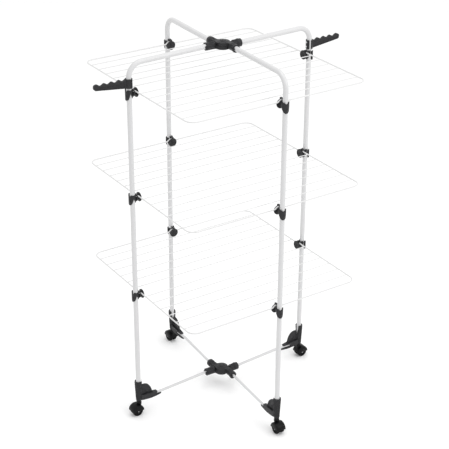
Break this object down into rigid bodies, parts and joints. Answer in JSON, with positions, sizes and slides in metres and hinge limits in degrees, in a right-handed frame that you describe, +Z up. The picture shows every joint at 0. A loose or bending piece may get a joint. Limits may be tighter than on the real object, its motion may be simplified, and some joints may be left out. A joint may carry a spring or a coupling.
{
  "type": "clothes drying rack",
  "caption": "Folding tower clothes airer on castors: two crossing tube frames carry hinged wire racks in tiers, with swing-out hanger arms at the top.",
  "frame": {"origin": "on the floor, under the bolt that joins the two crossing frames", "axes": "+Z up, X along the drying wires and the side frame, Y along the cross frame; the hanger arms point along +X and -X"},
  "size_m": [1.016, 0.8214, 1.4182],
  "materials": {
    "enamel": "gloss white enamel",
    "plastic": "satin dark grey moulded plastic",
    "black_plastic": "black moulded plastic",
    "bare_steel": "bare steel"
  },
  "bodies": {
    "side_frame": {"upright_right": "enamel", "top_tube_right": "enamel", "bottom_tube_right": "enamel", "foot_right": "plastic", "clip_right_1": "plastic", "clip_right_2": "plastic", "clip_right_3": "plastic", "upright_left": "enamel", "top_tube_left": "enamel", "bottom_tube_left": "enamel", "foot_left": "plastic", "clip_left_1": "plastic", "clip_left_2": "plastic", "clip_left_3": "plastic", "top_hub_side": "plastic", "bottom_hub_side": "plastic", "top_hub_bolt": "plastic", "bottom_hub_bolt": "plastic"},
    "cross_frame": {"upright_back": "enamel", "top_tube_back": "enamel", "bottom_tube_back": "enamel", "foot_back": "plastic", "clip_back_1": "plastic", "clip_back_2": "plastic", "clip_back_3": "plastic", "upright_front": "enamel", "top_tube_front": "enamel", "bottom_tube_front": "enamel", "foot_front": "plastic", "clip_front_1": "plastic", "clip_front_2": "plastic", "clip_front_3": "plastic", "top_hub_cross": "plastic", "bottom_hub_cross": "plastic"},
    "wing_front_1": {"wing_front_1": "enamel"},
    "wing_back_1": {"wing_back_1": "enamel"},
    "wing_front_2": {"wing_front_2": "enamel"},
    "wing_back_2": {"wing_back_2": "enamel"},
    "wing_front_3": {"wing_front_3": "enamel"},
    "wing_back_3": {"wing_back_3": "enamel"},
    "hanger_left": {"hanger_arm_left": "plastic", "hanger_clamp_left": "plastic"},
    "hanger_right": {"hanger_arm_right": "plastic", "hanger_clamp_right": "plastic"},
    "castor_right": {"castor_hood_right": "black_plastic"},
    "wheels_right": {"castor_axle_right": "bare_steel", "castor_wheel_right_1": "black_plastic", "castor_wheel_right_2": "black_plastic"},
    "castor_left": {"castor_hood_left": "black_plastic"},
    "wheels_left": {"castor_axle_left": "bare_steel", "castor_wheel_left_1": "black_plastic", "castor_wheel_left_2": "black_plastic"},
    "castor_back": {"castor_hood_back": "black_plastic"},
    "wheels_back": {"castor_axle_back": "bare_steel", "castor_wheel_back_1": "black_plastic", "castor_wheel_back_2": "black_plastic"},
    "castor_front": {"castor_hood_front": "black_plastic"},
    "wheels_front": {"castor_axle_front": "bare_steel", "castor_wheel_front_1": "black_plastic", "castor_wheel_front_2": "black_plastic"}
  },
  "joints": [
    {"name": "frame_fold", "type": "hinge", "parent": "side_frame", "child": "cross_frame", "pos_m": [0, 0, 0.7], "axis": [0, 0, -1], "range_deg": [0, 75]},
    {"name": "wing_front_1_hinge", "type": "hinge", "parent": "side_frame", "child": "wing_front_1", "pos_m": [0, -0.008, 0.528], "axis": [1, 0, 0], "range_deg": [0, 88]},
    {"name": "wing_back_1_hinge", "type": "hinge", "parent": "side_frame", "child": "wing_back_1", "pos_m": [0, 0.008, 0.524], "axis": [-1, 0, 0], "range_deg": [0, 88]},
    {"name": "wing_front_2_hinge", "type": "hinge", "parent": "side_frame", "child": "wing_front_2", "pos_m": [0, -0.008, 0.919], "axis": [1, 0, 0], "range_deg": [0, 88]},
    {"name": "wing_back_2_hinge", "type": "hinge", "parent": "side_frame", "child": "wing_back_2", "pos_m": [0, 0.008, 0.915], "axis": [-1, 0, 0], "range_deg": [0, 88]},
    {"name": "wing_front_3_hinge", "type": "hinge", "parent": "side_frame", "child": "wing_front_3", "pos_m": [0, -0.008, 1.309], "axis": [1, 0, 0], "range_deg": [0, 88]},
    {"name": "wing_back_3_hinge", "type": "hinge", "parent": "side_frame", "child": "wing_back_3", "pos_m": [0, 0.008, 1.305], "axis": [-1, 0, 0], "range_deg": [0, 88]},
    {"name": "hanger_left_swing", "type": "hinge", "parent": "side_frame", "child": "hanger_left", "pos_m": [-0.375, 0, 1.33], "axis": [0, 0, -1], "range_deg": [-90, 90]},
    {"name": "hanger_right_swing", "type": "hinge", "parent": "side_frame", "child": "hanger_right", "pos_m": [0.375, 0, 1.33], "axis": [0, 0, -1], "range_deg": [-90, 90]},
    {"name": "castor_right_swivel", "type": "hinge", "parent": "side_frame", "child": "castor_right", "pos_m": [0.375, 0, 0.06], "axis": [0, 0, 1], "continuous": true},
    {"name": "wheels_right_roll", "type": "hinge", "parent": "castor_right", "child": "wheels_right", "pos_m": [0.386, 0, 0.021], "axis": [0, 1, 0], "continuous": true},
    {"name": "castor_left_swivel", "type": "hinge", "parent": "side_frame", "child": "castor_left", "pos_m": [-0.375, 0, 0.06], "axis": [0, 0, 1], "continuous": true},
    {"name": "wheels_left_roll", "type": "hinge", "parent": "castor_left", "child": "wheels_left", "pos_m": [-0.386, 0, 0.021], "axis": [0, 1, 0], "continuous": true},
    {"name": "castor_back_swivel", "type": "hinge", "parent": "cross_frame", "child": "castor_back", "pos_m": [0, 0.375, 0.06], "axis": [0, 0, 1], "continuous": true},
    {"name": "wheels_back_roll", "type": "hinge", "parent": "castor_back", "child": "wheels_back", "pos_m": [0, 0.386, 0.021], "axis": [1, 0, 0], "continuous": true},
    {"name": "castor_front_swivel", "type": "hinge", "parent": "cross_frame", "child": "castor_front", "pos_m": [0, -0.375, 0.06], "axis": [0, 0, 1], "continuous": true},
    {"name": "wheels_front_roll", "type": "hinge", "parent": "castor_front", "child": "wheels_front", "pos_m": [0, -0.386, 0.021], "axis": [1, 0, 0], "continuous": true}
  ],
  "couplings": [
    {"joint": "wing_front_1_hinge", "follows": "frame_fold", "ratio": 1.173},
    {"joint": "wing_back_1_hinge", "follows": "frame_fold", "ratio": 1.173},
    {"joint": "wing_front_2_hinge", "follows": "frame_fold", "ratio": 1.173},
    {"joint": "wing_back_2_hinge", "follows": "frame_fold", "ratio": 1.173},
    {"joint": "wing_front_3_hinge", "follows": "frame_fold", "ratio": 1.173},
    {"joint": "wing_back_3_hinge", "follows": "frame_fold", "ratio": 1.173}
  ]
}
